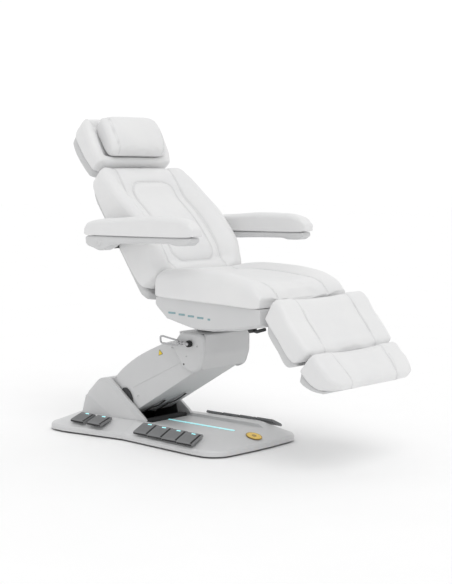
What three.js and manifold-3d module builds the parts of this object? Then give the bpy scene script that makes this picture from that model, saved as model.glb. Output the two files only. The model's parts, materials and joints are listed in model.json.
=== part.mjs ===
// Electric facial treatment bed: a weighted base with foot pedals, a parallelogram lift arm, a swivel head,
// and a four-section upholstered top with armrests. Millimetres. +X points to the occupant's feet,
// -Y is the occupant's right (the lever side), +Z is up. The origin is on the floor under the base.
import * as THREE from 'three';
import { mergeVertices } from 'three/addons/utils/BufferGeometryUtils.js';
import Module from 'manifold-3d';

const wasm = await Module();
wasm.setup();

// ---- driving dimensions ----
const GAP = 0.3; // between pieces that touch
const MAT = { height: 10, inset: 40 };
const PLATE = { low: 10, high: 18, inset: 12 };
const COVER = { low: 8, wall: 4, deck: 82, deckEdge: 203, tray: 70, trayHalf: 150, joint: -56 };
const FRONT = { end: 597, waist: 285, flare: 316, corner: 110, deckEnd: 440, deckFlare: 234 };
const REAR = { end: -590, waist: 285, flare: 341, corner: 110, deckEnd: -480, deckFlare: 222 };
const LOWER = { x: -175, z: 190 }; // lift arm's pivot in the tower
const UPPER = { x: 250, z: 436 }; // lift arm's pivot in the head
const LIFT = { half: 143, depth: 94, wall: 4, shaft: 15, plate: 60 };
const EAR = { inner: 145, outer: 151 }; // steel ears beside the lift arm
const CHEEK = { inner: 151.3, outer: 168, flank: 190 };
const LINK = { dx: -24, dz: 42, radius: 12 }; // levelling link, measured from each main pivot
const HEAD = { top: 544, front: 376, plate: 12 };
const LEVER = { x: 295, z: 494, y: -172, length: 185 };
const TILT = { x: 310, z: 600, radius: 12 };
const SEAT = { rear: 197, front: 838, half: 302, seam: 716 };
const BACK = { x: 93, z: 680, lean: -35.3 }; // foot of the back shell; its lean from upright in degrees
const BACK_HINGE = { x: 170, z: 700, radius: 10 };
const LEG_HINGE = { x: 852, z: 650, radius: 9 };
const FOOT_SLIDE = { y: 150, radius: 8 };
const HEAD_HINGE = { n: 20, s: 690, radius: 9 }; // in the backrest's own frame: n forward, s upward
const ARM = { inner: 357, outer: 435, pivotX: -48, pivotZ: 950 };
const PEDAL = { width: 99, thick: 12, length: 84, top: 94 };
const FRONT_PEDALS = { count: 4, first: 84, pitch: 104.5, inner: 224, spread: 0.083, fall: 25 };
const REAR_PEDALS = { count: 2, first: -228, pitch: -121, inner: 236, spread: 0, fall: 19 };

// ---- shape helpers ----
const ROUND_STEPS = 24;

// Joins shared vertices and leaves only positions, which is what a solid needs.
function welded(geometry) {
  const bare = geometry.index ? geometry.toNonIndexed() : geometry.clone();
  for (const name of Object.keys(bare.attributes)) {
    if (name !== 'position') bare.deleteAttribute(name);
  }
  return mergeVertices(bare, 1e-3);
}

function solid(geometry) {
  const shell = welded(geometry);
  const mesh = new wasm.Mesh({
    numProp: 3,
    vertProperties: new Float32Array(shell.attributes.position.array),
    triVerts: new Uint32Array(shell.index.array),
  });
  return new wasm.Manifold(mesh);
}

function fromSolid(body) {
  const mesh = body.getMesh();
  const geometry = new THREE.BufferGeometry();
  geometry.setAttribute('position', new THREE.BufferAttribute(new Float32Array(mesh.vertProperties), 3));
  geometry.setIndex(new THREE.BufferAttribute(new Uint32Array(mesh.triVerts), 1));
  return geometry;
}

function cut(geometry, ...tools) {
  return fromSolid(tools.reduce((body, tool) => body.subtract(solid(tool)), solid(geometry)));
}

function join(...geometries) {
  return fromSolid(geometries.slice(1).reduce((body, other) => body.add(solid(other)), solid(geometries[0])));
}

function box(x0, x1, y0, y1, z0, z1) {
  const geometry = new THREE.BoxGeometry(x1 - x0, y1 - y0, z1 - z0);
  return geometry.translate((x0 + x1) / 2, (y0 + y1) / 2, (z0 + z1) / 2);
}

// A round bar along Y.
function bar(x, z, radius, y0, y1, steps = ROUND_STEPS) {
  return new THREE.CylinderGeometry(radius, radius, y1 - y0, steps).translate(x, (y0 + y1) / 2, z);
}

// A round disc standing on Z.
function disc(x, y, radius, z0, z1, steps = ROUND_STEPS) {
  const geometry = new THREE.CylinderGeometry(radius, radius, z1 - z0, steps).rotateX(Math.PI / 2);
  return geometry.translate(x, y, (z0 + z1) / 2);
}

// Extrudes a side view (x, z) along Y, with an optional chamfer inside the stated width.
function alongY(shape, y0, y1, bevel = 0, curveSegments = 6) {
  const geometry = new THREE.ExtrudeGeometry(shape, {
    depth: y1 - y0 - 2 * bevel,
    bevelEnabled: bevel > 0,
    bevelThickness: bevel,
    bevelSize: bevel,
    bevelOffset: -bevel,
    bevelSegments: 2,
    curveSegments,
  });
  return geometry.rotateX(Math.PI / 2).translate(0, y1 - bevel, 0);
}

// A closed outline whose corners are rounded by the third number of each point.
function outline(points) {
  const shape = new THREE.Shape();
  const count = points.length;
  points.forEach(([x, y, radius = 0], i) => {
    const corner = new THREE.Vector2(x, y);
    const before = new THREE.Vector2(...points[(i + count - 1) % count]).sub(corner);
    const after = new THREE.Vector2(...points[(i + 1) % count]).sub(corner);
    const start = before.setLength(Math.min(radius, before.length() / 2.01)).add(corner);
    const end = after.setLength(Math.min(radius, after.length() / 2.01)).add(corner);
    if (i === 0) shape.moveTo(start.x, start.y);
    else shape.lineTo(start.x, start.y);
    if (radius > 0) shape.quadraticCurveTo(x, y, end.x, end.y);
  });
  shape.closePath();
  return shape;
}

// Skins rings of equal point counts and closes both ends; the rings are convex.
function loft(rings) {
  const size = rings[0].length;
  const index = [];
  for (let r = 0; r + 1 < rings.length; r += 1) {
    for (let i = 0; i < size; i += 1) {
      const a = r * size + i;
      const b = r * size + ((i + 1) % size);
      index.push(a, b, b + size, a, b + size, a + size);
    }
  }
  const last = (rings.length - 1) * size;
  for (let i = 1; i + 1 < size; i += 1) {
    index.push(0, i + 1, i, last, last + i, last + i + 1);
  }
  const geometry = new THREE.BufferGeometry();
  geometry.setAttribute('position', new THREE.Float32BufferAttribute(rings.flat(2), 3));
  geometry.setIndex(index);
  return volume(geometry) < 0 ? flipped(geometry) : geometry;
}

function volume(geometry) {
  const position = geometry.attributes.position;
  const index = geometry.index.array;
  const corners = [new THREE.Vector3(), new THREE.Vector3(), new THREE.Vector3()];
  let total = 0;
  for (let i = 0; i < index.length; i += 3) {
    corners.forEach((corner, k) => corner.fromBufferAttribute(position, index[i + k]));
    total += corners[0].dot(corners[1].cross(corners[2]));
  }
  return total;
}

function flipped(geometry) {
  const index = Array.from(geometry.index.array);
  for (let i = 0; i < index.length; i += 3) [index[i], index[i + 1]] = [index[i + 1], index[i]];
  geometry.setIndex(index);
  return geometry;
}

// A padded or moulded block: each section spans from a low to a high point of the side view,
// has a half width, and rounds its four corners.
function block(sections) {
  const steps = 3;
  return loft(sections.map(({ low, high, half, round = 20 }) => {
    const height = Math.hypot(high[0] - low[0], high[1] - low[1]);
    const radius = Math.min(round, half * 0.95, height * 0.48);
    const ring = [];
    [[1, 1], [-1, 1], [-1, -1], [1, -1]].forEach(([side, end], quarter) => {
      for (let k = 0; k <= steps; k += 1) {
        const angle = (quarter + k / steps) * (Math.PI / 2);
        const y = side * (half - radius) + radius * Math.cos(angle);
        const h = height / 2 + end * (height / 2 - radius) + radius * Math.sin(angle);
        const t = h / height;
        ring.push([low[0] + (high[0] - low[0]) * t, y, low[1] + (high[1] - low[1]) * t]);
      }
    });
    return ring;
  }));
}

// ---- materials ----
function finish(color, roughness, metalness) {
  return new THREE.MeshStandardMaterial({ color, roughness, metalness });
}

const looks = {
  shell: finish(0xc9cacb, 0.45, 0),
  upholstery: finish(0xf1f1f0, 0.5, 0),
  steel: finish(0x4b4d50, 0.5, 0.6),
  bright: finish(0xd5d8da, 0.15, 1),
  pedal: finish(0x84868a, 0.5, 0),
  black: finish(0x161617, 0.7, 0),
  light: finish(0x9df0f2, 0.3, 0),
};

const bed = new THREE.Group();

function add(name, geometry, look, parent = bed) {
  const mesh = new THREE.Mesh(welded(geometry), looks[look]);
  mesh.name = name;
  parent.add(mesh);
  return mesh;
}

// ---- base ----
// One level of a base cover: the waist, a flared side, a rounded corner and a slightly bowed end.
function coverRing({ waist, flare, end, corner }, z) {
  const away = Math.sign(end);
  const flareX = end - away * (corner + 57);
  const side = [[COVER.joint + (away * GAP) / 2, waist], [flareX, flare]];
  const cornerSteps = 6;
  for (let k = 1; k <= cornerSteps; k += 1) {
    const angle = (k / cornerSteps) * (Math.PI / 2);
    const x = end - away * (corner + 8) + away * corner * Math.sin(angle);
    side.push([x, flare - corner + corner * Math.cos(angle)]);
  }
  side.push([end, 60]);
  const mirrored = side.map(([x, y]) => [x, -y]).reverse();
  return [...side, ...mirrored].map(([x, y]) => [x, y, z]);
}

const WELL = { rear: -426, front: -20 }; // the opening that the lift arm turns in

// The tray's space, grown by the thickness of the skin around it.
function tray(skin) {
  const level = (half, z) => [[-60, half, z], [640, half, z], [640, -half, z], [-60, -half, z]];
  const half = COVER.trayHalf + skin;
  return loft([level(half, COVER.tray - skin), level(half + 20, COVER.tray - skin + 20)]);
}

function coverBody(plan, inset, lift) {
  const away = Math.sign(plan.end);
  const level = (side, drop, corner, z, flare = plan.flare - side) => coverRing({
    waist: plan.waist - side - inset,
    flare: flare - inset,
    end: plan.end - away * (drop + inset),
    corner,
  }, z);
  const deckDrop = Math.abs(plan.end - plan.deckEnd);
  return loft([
    level(0, 0, plan.corner, COVER.low + lift.low),
    level(0, 0, plan.corner, 27 + lift.high),
    level(6, 7, plan.corner - 4, 36 + lift.high),
    level(17, 21, plan.corner - 12, 40 + lift.high),
    level(plan.waist - COVER.deckEdge, deckDrop, 60, COVER.deck + lift.high, plan.deckFlare),
  ]);
}

// The cover is a thin shell, open below, with a shallow tray pressed into its deck.
function baseCover(plan) {
  const outside = cut(coverBody(plan, 0, { low: 0, high: 0 }), tray(0));
  const inside = cut(coverBody(plan, COVER.wall, { low: -5, high: -COVER.wall }), tray(COVER.wall));
  const well = box(WELL.rear, WELL.front, -EAR.outer - 1, EAR.outer + 1, 0, 120);
  return cut(outside, inside, well);
}

function basePlate() {
  const level = (plan, z) => coverRing({
    waist: plan.waist - PLATE.inset,
    flare: plan.flare - PLATE.inset,
    end: plan.end - Math.sign(plan.end) * PLATE.inset,
    corner: plan.corner - PLATE.inset,
  }, z);
  const half = (plan) => loft([level(plan, PLATE.low), level(plan, PLATE.high)]);
  const bridge = box(COVER.joint - 1, COVER.joint + 1, -FRONT.waist + PLATE.inset + 1,
    FRONT.waist - PLATE.inset - 1, PLATE.low, PLATE.high);
  return join(half(FRONT), half(REAR), bridge);
}

add('base_plate', basePlate(), 'steel');
add('front_base_cover', baseCover(FRONT), 'shell');
add('rear_base_cover', baseCover(REAR), 'shell');

// A rubber mat under the plate keeps the base from slipping.
function antiSlipMat() {
  const level = (z) => {
    const side = [[-540, 240], [-500, 300], [COVER.joint, FRONT.waist - MAT.inset], [500, 280], [560, 220]];
    return [...side, ...side.map(([x, y]) => [x, -y]).reverse()].map(([x, y]) => [x, y, z]);
  };
  return loft([level(0), level(MAT.height - GAP)]);
}

add('anti_slip_mat', antiSlipMat(), 'black');
add('floor_light_strip', box(-16, 418, -6, 6, COVER.tray + GAP, COVER.tray + 2.5), 'light');

// ---- tower ----
function towerEar(y0, y1) {
  const side = outline([[-262, PLATE.high + GAP], [-88, PLATE.high + GAP], [-128, 205, 30], [-175, 240, 30],
    [-222, 205, 30]]);
  return alongY(side, y0, y1);
}

function towerFrame() {
  const foot = box(-270, -80, -EAR.outer, EAR.outer, PLATE.high + GAP, 26);
  const frame = join(foot, towerEar(-EAR.outer, -EAR.inner), towerEar(EAR.inner, EAR.outer));
  return cut(frame, bar(LOWER.x, LOWER.z, LIFT.shaft + GAP, -160, 160),
    bar(LOWER.x + LINK.dx, LOWER.z + LINK.dz, LINK.radius + GAP, -160, 160));
}

add('tower_frame', towerFrame(), 'steel');
add('lower_pivot_shaft', bar(LOWER.x, LOWER.z, LIFT.shaft, -EAR.outer, EAR.outer), 'bright');

// A cheek has a flat rim along its sloping front edge and a flank that stands out behind it.
const CHEEK_FOOT = COVER.deck + GAP;
function towerCheek(side) {
  const rim = outline([[-461, CHEEK_FOOT], [-12, CHEEK_FOOT], [-20, CHEEK_FOOT + 12, 6], [-266, 272, 22],
    [-338, 268, 30], [-399, 210, 20], [-426, 187, 12]]);
  const [y0, y1] = side < 0 ? [-CHEEK.outer, -CHEEK.inner] : [CHEEK.inner, CHEEK.outer];
  const level = (y, points) => points.map(([x, z]) => [x, side * y, z]);
  const inner = [[-455, CHEEK_FOOT], [-420, 184], [-338, 260], [-282, 262], [-50, 90], [-46, CHEEK_FOOT]];
  const outer = [[-448, CHEEK_FOOT], [-420, 170], [-412, 176], [-404, 176], [-236, 90], [-228, CHEEK_FOOT]];
  const flank = loft([level(CHEEK.outer - 3, inner), level(CHEEK.flank, outer)]);
  return join(alongY(rim, y0, y1, 2, 3), flank);
}

add('right_tower_cover', towerCheek(-1), 'shell');
add('left_tower_cover', towerCheek(1), 'shell');

const INLET = { x0: -468, x1: -436, y0: 58, y1: 92, z0: 98, z1: 124 };
function rearTowerCover() {
  const skin = [[-461, CHEEK_FOOT], [-426, 187, 12], [-399, 210, 20], [-338, 268, 30], [-292, 268, 14],
    [-286, 200, 20], [-300, CHEEK_FOOT]];
  const hollow = [[-455, CHEEK_FOOT - 20], [-421, 184, 10], [-396, 204, 18], [-337, 262, 26], [-297, 262, 10],
    [-291, 200, 18], [-305, CHEEK_FOOT - 20]];
  const half = EAR.outer - 0.3;
  return cut(alongY(outline(skin), -half, half, 0, 3),
    alongY(outline(hollow), -half + COVER.wall, half - COVER.wall, 0, 3),
    box(INLET.x0 - 20, INLET.x1 + 1, INLET.y0 - GAP, INLET.y1 + GAP, INLET.z0 - GAP, INLET.z1 + GAP));
}

add('rear_tower_cover', rearTowerCover(), 'shell');
const socket = box(INLET.x0 - 1, INLET.x0 + 12, INLET.y0 + 5, INLET.y1 - 5, INLET.z0 + 4, INLET.z1 - 4);
add('power_inlet', cut(box(INLET.x0, INLET.x1, INLET.y0, INLET.y1, INLET.z0, INLET.z1), socket), 'black');
const gearbox = box(-420, -340, -60, 20, PLATE.high + GAP, 110);
add('lift_motor', join(gearbox, bar(-380, 128, 34, -110, 70)), 'steel');

// A folded rubber boot closes the well in front of the arm.
function cableBoot() {
  const points = [[-84, 28], [-24, 28], [-24, 78]];
  const folds = 4;
  for (let k = 0; k < folds; k += 1) {
    points.push([-30 - k * 14, 90 - k * 2], [-37 - k * 14, 74 - k * 2]);
  }
  return alongY(outline(points), -138, 138);
}

add('cable_boot', cableBoot(), 'black');

// ---- lift arm ----
const armAngle = Math.atan2(UPPER.z - LOWER.z, UPPER.x - LOWER.x);

// The arm's side view: a straight underside, a humped back and a round end about each pivot.
function armOutline(inset) {
  const shape = new THREE.Shape();
  const radius = LIFT.depth - inset;
  const hump = [[190, 497], [118, 484], [20, 447], [-90, 395], [-190, 331], [-268, 262]];
  const centre = new THREE.Vector2((LOWER.x + UPPER.x) / 2, (LOWER.z + UPPER.z) / 2);
  shape.absarc(LOWER.x, LOWER.z, radius, armAngle + Math.PI * 0.86, armAngle + Math.PI * 1.5, false);
  shape.absarc(UPPER.x, UPPER.z, radius, armAngle - Math.PI / 2, armAngle + Math.PI * 0.42, false);
  shape.splineThru(hump.map(([x, z]) => {
    const point = new THREE.Vector2(x, z);
    return point.add(centre.clone().sub(point).setLength(inset * 1.2));
  }));
  shape.closePath();
  return shape;
}

const pivotHoles = (radius) => [
  bar(LOWER.x, LOWER.z, radius, -200, 200),
  bar(UPPER.x, UPPER.z, radius, -200, 200),
];

// The two covers are clamshell halves that meet on the centre plane.
function armCover(side) {
  const span = (near, far) => (side < 0 ? [-far, -near] : [near, far]);
  const skin = alongY(armOutline(0), ...span(GAP / 2, LIFT.half), 5, 8);
  const hollow = alongY(armOutline(LIFT.wall), ...span(-10, LIFT.half - LIFT.wall), 0, 8);
  const squareEdge = alongY(armOutline(0), ...span(GAP / 2, 8), 0, 8);
  const outside = cut(join(skin, squareEdge), hollow);
  const grooveStart = new THREE.Vector2(-122, 236);
  const grooveEnd = new THREE.Vector2(198, 388);
  const run = grooveEnd.clone().sub(grooveStart);
  const groove = box(0, run.length(), ...span(LIFT.half - 1.5, LIFT.half + 5), -1, 1);
  groove.rotateY(-Math.atan2(run.y, run.x)).translate(grooveStart.x, 0, grooveStart.y);
  return cut(outside, groove, ...pivotHoles(LIFT.shaft + GAP));
}

add('right_arm_cover', armCover(-1), 'shell');
add('left_arm_cover', armCover(1), 'shell');

function armFrame() {
  const thick = 8;
  const plates = [[-LIFT.plate, -LIFT.plate + thick], [LIFT.plate - thick, LIFT.plate]]
    .map(([y0, y1]) => alongY(armOutline(26), y0, y1, 0, 4));
  const spreaders = [[-60, 290], [60, 330], [130, 345]]
    .map(([x, z]) => bar(x, z - 32, 14, -LIFT.plate + 1, LIFT.plate - 1, 12));
  return cut(join(...plates, ...spreaders), ...pivotHoles(LIFT.shaft + GAP),
    bar(LOWER.x + LINK.dx, LOWER.z + LINK.dz, 22, -200, 200, 16),
    bar(UPPER.x + LINK.dx, UPPER.z + LINK.dz, 22, -200, 200, 16));
}

add('arm_frame', armFrame(), 'steel');

// The levelling link keeps the head upright. Its upper end is left open.
function levellingLink() {
  const start = { x: LOWER.x + LINK.dx, z: LOWER.z + LINK.dz };
  const length = Math.hypot(UPPER.x - LOWER.x, UPPER.z - LOWER.z);
  const strip = outline([[-16, -11, 10], [length + 16, -11, 10], [length + 16, 11, 10], [-16, 11, 10]]);
  const flat = alongY(strip, -6, 6, 0, 4);
  const placed = flat.rotateY(-armAngle).translate(start.x, 0, start.z);
  return cut(placed, bar(start.x, start.z, 8.3, -20, 20, 16),
    bar(UPPER.x + LINK.dx, UPPER.z + LINK.dz, 8.3, -20, 20, 16));
}

add('levelling_link', levellingLink(), 'steel');

// ---- head ----
function headOutline() {
  return [[186, 505, 12], [190, 440, 30], [232, 376, 40], [300, 348, 30], [352, 372, 45],
    [HEAD.front, 440, 40],
    [HEAD.front, HEAD.top - 14, 12], [222, HEAD.top - 14, 14]];
}

function headFrame() {
  const ear = (y0, y1) => {
    const points = [[215, HEAD.top - 12], [206, 436, 30], [250, 385, 30], [294, 436, 30],
      [330, HEAD.top - 12]];
    return alongY(outline(points), y0, y1, 0, 3);
  };
  const top = box(205, 366, -EAR.outer, EAR.outer, HEAD.top - HEAD.plate, HEAD.top);
  return cut(join(top, ear(-EAR.outer, -EAR.inner), ear(EAR.inner, EAR.outer)),
    bar(UPPER.x, UPPER.z, LIFT.shaft + GAP, -160, 160));
}

add('head_frame', headFrame(), 'steel');
add('upper_pivot_shaft', bar(UPPER.x, UPPER.z, LIFT.shaft, -EAR.outer, EAR.outer), 'bright');
add('right_head_cover', alongY(outline(headOutline()), -CHEEK.flank + 20, -CHEEK.inner, 0, 4), 'shell');
add('left_head_cover', alongY(outline(headOutline()), CHEEK.inner, CHEEK.flank - 20, 0, 4), 'shell');

function headFrontCover() {
  const band = [[352, 400], [HEAD.front - 4, 440, 30], [HEAD.front - 4, HEAD.top - 14, 10],
    [368, HEAD.top - 14],
    [366, 442, 28], [348, 408]];
  return alongY(outline(band), -EAR.outer, EAR.outer, 0, 4);
}

add('head_front_cover', headFrontCover(), 'shell');
add('turntable_bearing', disc(TILT.x - 24, 0, 80, HEAD.top + GAP, HEAD.top + 12, 32), 'steel');

// The swivel brake: a hub, a stub and a loop handle in one casting.
function swivelLever() {
  const hub = bar(LEVER.x, LEVER.z, 15, LEVER.y - 26, LEVER.y);
  const stub = new THREE.CylinderGeometry(6, 6, 70, 12).rotateZ(Math.PI / 2)
    .translate(LEVER.x - 38, LEVER.y - 18, LEVER.z);
  const tip = LEVER.x - LEVER.length;
  const ring = outline([[tip, LEVER.z - 14, 20], [LEVER.x - 62, LEVER.z - 14, 20],
    [LEVER.x - 62, LEVER.z + 27, 20],
    [tip, LEVER.z + 27, 20]]);
  const hole = outline([[tip + 9, LEVER.z - 5, 12], [LEVER.x - 71, LEVER.z - 5, 12],
    [LEVER.x - 71, LEVER.z + 18, 12],
    [tip + 9, LEVER.z + 18, 12]]);
  const loop = alongY(ring, LEVER.y - 23, LEVER.y - 13, 2, 4);
  const handle = cut(loop, alongY(hole, LEVER.y - 40, LEVER.y, 0, 4));
  return join(hub, stub, handle);
}

add('swivel_lever', swivelLever(), 'bright');

// ---- swivel and seat ----
function swivelFrame() {
  const plate = disc(TILT.x - 24, 0, 76, HEAD.top + 12 + GAP, HEAD.top + 22, 32);
  const post = alongY(outline([[252, HEAD.top + 20], [345, HEAD.top + 20], [330, 618, 18], [290, 618, 18]]),
    -60, 60, 0, 4);
  return join(plate, post, bar(TILT.x, TILT.z, TILT.radius, -106, 106));
}

add('swivel_frame', swivelFrame(), 'steel');

const RECESS = { x0: 215, x1: 405, half: 125, top: 662 };
function seatPan() {
  const level = (y, low) => {
    const top = [[SEAT.front, SEAT.seam - 14], [790, SEAT.seam - 16], [488, SEAT.seam - 4],
      [200, SEAT.seam + 3]];
    return [...top, ...low].map(([x, z]) => [x, y, z]);
  };
  const edge = [[SEAT.rear, 690], [262, 640], [378, 612], [431, 604], [525, 606], [676, 618],
    [SEAT.front, 646]];
  const side = [[SEAT.rear, 678], [266, 622], [378, 598], [431, 589], [525, 590], [676, 603],
    [SEAT.front, 634]];
  const deep = [[SEAT.rear, 675], [270, 612], [378, 585], [431, 577], [525, 577], [676, 592],
    [SEAT.front, 622]];
  const rings = [[-SEAT.half, edge], [-SEAT.half + 6, side], [-258, deep], [258, deep],
    [SEAT.half - 6, side], [SEAT.half, edge]].map(([y, low]) => level(y, low));
  const hingeNotches = [-1, 1].map((s) => box(818, 870, s < 0 ? -222 : 180, s < 0 ? -180 : 222, 600, 690));
  const recess = box(RECESS.x0, RECESS.x1, -RECESS.half, RECESS.half, 540, RECESS.top);
  const body = cut(loft(rings), recess, ...hingeNotches);
  return cut(join(body, ...hingeLugs()),
    bar(BACK_HINGE.x, BACK_HINGE.z, BACK_HINGE.radius + GAP, -300, 300),
    bar(LEG_HINGE.x, LEG_HINGE.z, LEG_HINGE.radius + GAP, -197.5, -184.5),
    bar(LEG_HINGE.x, LEG_HINGE.z, LEG_HINGE.radius + GAP, 184.5, 197.5));
}

// Lugs at both ends of the pan carry the shafts of the backrest and the legrest.
function hingeLugs() {
  const backSide = [[SEAT.rear + 4, 684], [158, 684, 14], [152, 716, 14], [SEAT.rear + 4, 716]];
  const legSide = [[814, 630], [852, 636, 12], [866, 650, 12], [852, 664, 12], [814, 676]];
  return [
    ...[[-214, -206], [-4, 4], [206, 214]].map((span) => alongY(outline(backSide), ...span, 0, 4)),
    ...[[-197, -185], [185, 197]].map((span) => alongY(outline(legSide), ...span, 0, 4)),
  ];
}

add('seat_pan', seatPan(), 'shell');

function seatBrackets() {
  const ear = (y0, y1) => {
    const side = outline([[250, RECESS.top - GAP], [280, 585, 20], [340, 585, 20], [370, RECESS.top - GAP]]);
    return alongY(side, y0, y1, 0, 4);
  };
  const plate = box(240, 380, -104, 104, RECESS.top - 8, RECESS.top - GAP);
  return cut(join(plate, ear(-104, -96), ear(96, 104)), bar(TILT.x, TILT.z, TILT.radius + GAP, -120, 120));
}

add('seat_brackets', seatBrackets(), 'steel');

function cushionSections(rows) {
  return rows.map(([low, high, half, round]) => ({ low, high, half, round }));
}

add('seat_cushion', block(cushionSections([
  [[222, 740], [222, 800], 285, 24],
  [[232, 722], [240, 846], 308, 44],
  [[400, 718], [400, 858], 316, 46],
  [[575, 714], [575, 852], 316, 46],
  [[700, 710], [706, 834], 316, 44],
  [[790, 706], [800, 796], 314, 36],
  [[832, 710], [844, 752], 306, 20],
])), 'upholstery');

add('back_hinge_shaft', bar(BACK_HINGE.x, BACK_HINGE.z, BACK_HINGE.radius, -222, 222), 'bright');
add('leg_hinge_shaft', bar(LEG_HINGE.x, LEG_HINGE.z, LEG_HINGE.radius, -216, 216), 'bright');

// ---- backrest, in its own leaning frame: n (local x) points forward and s (local z) up the back ----
const back = new THREE.Group();
back.position.set(BACK.x, 0, BACK.z);
back.rotation.y = THREE.MathUtils.degToRad(BACK.lean);
bed.add(back);

const lean = THREE.MathUtils.degToRad(BACK.lean);
function toBack(x, z) {
  const dx = x - BACK.x;
  const dz = z - BACK.z;
  return { n: dx * Math.cos(lean) - dz * Math.sin(lean), s: dx * Math.sin(lean) + dz * Math.cos(lean) };
}

const hinge = toBack(BACK_HINGE.x, BACK_HINGE.z);
const armPivot = toBack(ARM.pivotX, ARM.pivotZ);
const FRAME_BAR = { y0: 190, y1: 198, n0: 12, n1: 34, top: 500 };
const CROSS_BAR = { n: 23, s: 440, radius: 8 };

function backShell() {
  const skin = block(cushionSections([
    [[16, 2], [38, 14], 200, 6],
    [[4, 18], [40, 26], 252, 16],
    [[0, 60], [42, 60], 272, 18],
    [[0, 560], [42, 560], 272, 18],
    [[2, 640], [42, 640], 256, 18],
    [[14, 668], [42, 668], 222, 12],
  ]));
  const grooves = [-1, 1].map((s) => {
    const [y0, y1] = s < 0 ? [-FRAME_BAR.y1, -FRAME_BAR.y0] : [FRAME_BAR.y0, FRAME_BAR.y1];
    return box(FRAME_BAR.n0 - GAP, 60, y0 - GAP, y1 + GAP, -40, FRAME_BAR.top + GAP);
  });
  const blade = box(HEAD_HINGE.n - 5, 60, -26, 26, 560, 700);
  const pivots = [[-300, -195], [195, 300]].map(([y0, y1]) => bar(armPivot.n, armPivot.s, 14.3, y0, y1));
  const cross = bar(CROSS_BAR.n, CROSS_BAR.s, CROSS_BAR.radius + GAP, -FRAME_BAR.y1, FRAME_BAR.y1, 12);
  return cut(skin, ...grooves, blade, cross, ...pivots);
}

add('back_shell', backShell(), 'shell', back);

// Two flat bars carry the back from its hinge, with a stub for each armrest.
function backFrame() {
  const side = (s) => {
    const [y0, y1] = s < 0 ? [-FRAME_BAR.y1, -FRAME_BAR.y0] : [FRAME_BAR.y0, FRAME_BAR.y1];
    const strip = outline([[FRAME_BAR.n0, 14, 8], [hinge.n - 12, hinge.s - 19, 12],
      [hinge.n + 19, hinge.s - 12, 14], [hinge.n + 12, hinge.s + 19, 12], [FRAME_BAR.n1, 22, 6],
      [FRAME_BAR.n1, FRAME_BAR.top], [FRAME_BAR.n0, FRAME_BAR.top]]);
    const stub = bar(armPivot.n, armPivot.s, 14, s < 0 ? -ARM.inner - 30 : FRAME_BAR.y0 + 1,
      s < 0 ? -FRAME_BAR.y0 - 1 : ARM.inner + 30);
    const bore = bar(hinge.n, hinge.s, BACK_HINGE.radius + GAP, -300, 300);
    return cut(join(alongY(strip, y0, y1, 0, 4), stub), bore);
  };
  const reach = FRAME_BAR.y0 + 1;
  return join(side(-1), side(1), bar(CROSS_BAR.n, CROSS_BAR.s, CROSS_BAR.radius, -reach, reach, 12));
}

add('back_frame', backFrame(), 'steel', back);

function backCushion() {
  const body = block(cushionSections([
    [[62, 40], [150, 40], 262, 26],
    [[48, 62], [202, 58], 296, 40],
    [[44, 100], [223, 96], 306, 60],
    [[43, 200], [238, 200], 310, 64],
    [[43, 344], [222, 344], 310, 60],
    [[43, 503], [182, 503], 304, 50],
    [[43, 620], [152, 632], 288, 44],
    [[43, 668], [130, 682], 252, 30],
    [[60, 678], [110, 692], 226, 16],
  ]));
  const pivots = bar(armPivot.n, armPivot.s, 14.6, -340, 340);
  const blade = box(HEAD_HINGE.n - 6, HEAD_HINGE.n + 30, -30, 30, 600, 720);
  return cut(body, pivots, blade);
}

add('back_cushion', backCushion(), 'upholstery', back);

// ---- headrest ----
function headrestBlade() {
  const blade = box(HEAD_HINGE.n - 4, HEAD_HINGE.n + 4, -24, 24, 566, HEAD_HINGE.s - 4);
  const barrel = bar(HEAD_HINGE.n, HEAD_HINGE.s, HEAD_HINGE.radius, -24, 24, 16);
  const pin = bar(HEAD_HINGE.n, HEAD_HINGE.s, 5, -44, 44, 16);
  return join(blade, barrel, pin);
}

add('headrest_blade', headrestBlade(), 'steel', back);

// Two lugs under the headrest shell turn on the blade's pin.
function headrestShell() {
  const body = block(cushionSections([
    [[6, 714.5], [44, 718], 196, 12],
    [[-4, 740], [48, 740], 232, 20],
    [[-6, 860], [50, 860], 246, 22],
    [[-2, 924], [50, 930], 240, 22],
    [[24, 966], [50, 968], 214, 8],
  ]));
  const lug = (y0, y1) => alongY(outline([[10, 724], [10, 682, 9], [30, 682, 9], [30, 724]]), y0, y1, 0, 4);
  return cut(join(body, lug(-40, -26), lug(26, 40)),
    bar(HEAD_HINGE.n, HEAD_HINGE.s, 5 + GAP, -100, 100, 16));
}

add('headrest_shell', headrestShell(), 'shell', back);

add('headrest_cushion', block(cushionSections([
  [[52, 722], [92, 732], 206, 16],
  [[51, 742], [112, 748], 238, 30],
  [[51, 820], [130, 824], 250, 40],
  [[51, 900], [142, 904], 250, 40],
  [[51, 950], [142, 962], 240, 40],
  [[60, 974], [118, 982], 214, 20],
])), 'upholstery', back);

add('head_pillow', block(cushionSections([
  [[118, 757], [150, 752], 150, 14],
  [[122, 770], [176, 772], 168, 26],
  [[131, 820], [198, 830], 178, 32],
  [[144, 880], [212, 890], 178, 32],
  [[145, 930], [204, 944], 170, 28],
  [[146, 950], [176, 966], 150, 14],
])), 'upholstery', back);

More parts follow.
